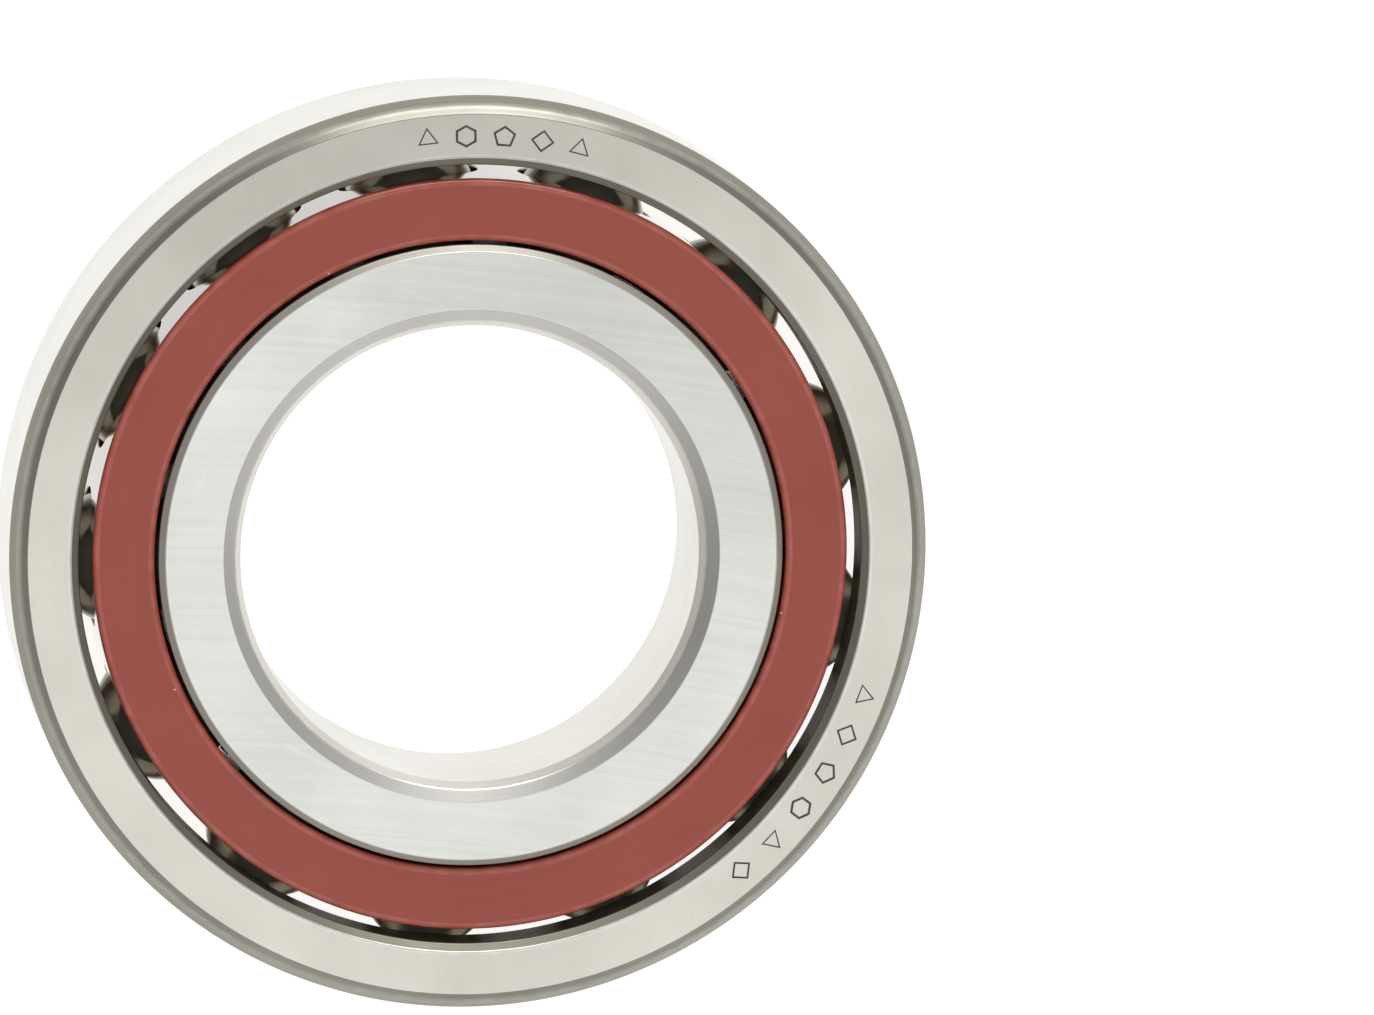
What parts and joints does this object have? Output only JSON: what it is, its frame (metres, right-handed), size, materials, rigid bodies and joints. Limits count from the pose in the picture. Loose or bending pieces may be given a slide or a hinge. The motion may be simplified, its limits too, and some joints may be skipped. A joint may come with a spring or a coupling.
{
  "type": "angular contact ball bearing",
  "caption": "Open single-row angular contact ball bearing: ground steel rings, steel balls in a one-piece drilled resin cage, a high shoulder on one side and a counterbore on the other.",
  "frame": {"origin": "on the bore's axis, at mid-width", "axes": "+Z along the axis, towards the face on the outer ring's high-shoulder side; the bearing lies flat"},
  "size_m": [0.08, 0.08, 0.018],
  "materials": {
    "ring_steel": "ground",
    "ball_steel": "polished",
    "cage_resin": "satin, machined fabric-filled resin"
  },
  "bodies": {
    "outer_ring": {"outer_ring": "ring_steel"},
    "inner_ring": {"inner_ring": "ring_steel"},
    "cage": {"cage": "cage_resin"},
    "ball_01": {"ball_01": "ball_steel"},
    "ball_02": {"ball_02": "ball_steel"},
    "ball_03": {"ball_03": "ball_steel"},
    "ball_04": {"ball_04": "ball_steel"},
    "ball_05": {"ball_05": "ball_steel"},
    "ball_06": {"ball_06": "ball_steel"},
    "ball_07": {"ball_07": "ball_steel"},
    "ball_08": {"ball_08": "ball_steel"},
    "ball_09": {"ball_09": "ball_steel"},
    "ball_10": {"ball_10": "ball_steel"},
    "ball_11": {"ball_11": "ball_steel"},
    "ball_12": {"ball_12": "ball_steel"},
    "ball_13": {"ball_13": "ball_steel"}
  },
  "joints": [
    {"name": "inner_spin", "type": "hinge", "parent": "outer_ring", "child": "inner_ring", "pos_m": [0, 0, 0], "axis": [0, 0, 1], "continuous": true},
    {"name": "cage_spin", "type": "hinge", "parent": "outer_ring", "child": "cage", "pos_m": [0, 0, 0], "axis": [0, 0, 1], "continuous": true},
    {"name": "ball_01_spin", "type": "hinge", "parent": "cage", "child": "ball_01", "pos_m": [0.00952, 0.02845, 0], "axis": [-0.1341, -0.4008, 0.9063], "continuous": true},
    {"name": "ball_02_spin", "type": "hinge", "parent": "cage", "child": "ball_02", "pos_m": [-0.00479, 0.02961, 0], "axis": [0.0675, -0.4172, 0.9063], "continuous": true},
    {"name": "ball_03_spin", "type": "hinge", "parent": "cage", "child": "ball_03", "pos_m": [-0.01801, 0.024, 0], "axis": [0.2537, -0.338, 0.9063], "continuous": true},
    {"name": "ball_04_spin", "type": "hinge", "parent": "cage", "child": "ball_04", "pos_m": [-0.02709, 0.01288, 0], "axis": [0.3817, -0.1814, 0.9063], "continuous": true},
    {"name": "ball_05_spin", "type": "hinge", "parent": "cage", "child": "ball_05", "pos_m": [-0.02998, -0.00119, 0], "axis": [0.4223, 0.0167, 0.9063], "continuous": true},
    {"name": "ball_06_spin", "type": "hinge", "parent": "cage", "child": "ball_06", "pos_m": [-0.02599, -0.01498, 0], "axis": [0.3661, 0.2111, 0.9063], "continuous": true},
    {"name": "ball_07_spin", "type": "hinge", "parent": "cage", "child": "ball_07", "pos_m": [-0.01605, -0.02534, 0], "axis": [0.2261, 0.357, 0.9063], "continuous": true},
    {"name": "ball_08_spin", "type": "hinge", "parent": "cage", "child": "ball_08", "pos_m": [-0.00243, -0.0299, 0], "axis": [0.0343, 0.4212, 0.9063], "continuous": true},
    {"name": "ball_09_spin", "type": "hinge", "parent": "cage", "child": "ball_09", "pos_m": [0.01174, -0.02761, 0], "axis": [-0.1654, 0.3889, 0.9063], "continuous": true},
    {"name": "ball_10_spin", "type": "hinge", "parent": "cage", "child": "ball_10", "pos_m": [0.02323, -0.01899, 0], "axis": [-0.3272, 0.2675, 0.9063], "continuous": true},
    {"name": "ball_11_spin", "type": "hinge", "parent": "cage", "child": "ball_11", "pos_m": [0.02939, -0.00602, 0], "axis": [-0.414, 0.0848, 0.9063], "continuous": true},
    {"name": "ball_12_spin", "type": "hinge", "parent": "cage", "child": "ball_12", "pos_m": [0.02882, 0.00833, 0], "axis": [-0.406, -0.1173, 0.9063], "continuous": true},
    {"name": "ball_13_spin", "type": "hinge", "parent": "cage", "child": "ball_13", "pos_m": [0.02165, 0.02077, 0], "axis": [-0.305, -0.2926, 0.9063], "continuous": true}
  ],
  "couplings": [
    {"joint": "cage_spin", "follows": "inner_spin", "ratio": 0.41008},
    {"joint": "ball_01_spin", "follows": "inner_spin", "ratio": -2.4382},
    {"joint": "ball_02_spin", "follows": "inner_spin", "ratio": -2.4382},
    {"joint": "ball_03_spin", "follows": "inner_spin", "ratio": -2.4382},
    {"joint": "ball_04_spin", "follows": "inner_spin", "ratio": -2.4382},
    {"joint": "ball_05_spin", "follows": "inner_spin", "ratio": -2.4382},
    {"joint": "ball_06_spin", "follows": "inner_spin", "ratio": -2.4382},
    {"joint": "ball_07_spin", "follows": "inner_spin", "ratio": -2.4382},
    {"joint": "ball_08_spin", "follows": "inner_spin", "ratio": -2.4382},
    {"joint": "ball_09_spin", "follows": "inner_spin", "ratio": -2.4382},
    {"joint": "ball_10_spin", "follows": "inner_spin", "ratio": -2.4382},
    {"joint": "ball_11_spin", "follows": "inner_spin", "ratio": -2.4382},
    {"joint": "ball_12_spin", "follows": "inner_spin", "ratio": -2.4382},
    {"joint": "ball_13_spin", "follows": "inner_spin", "ratio": -2.4382}
  ]
}
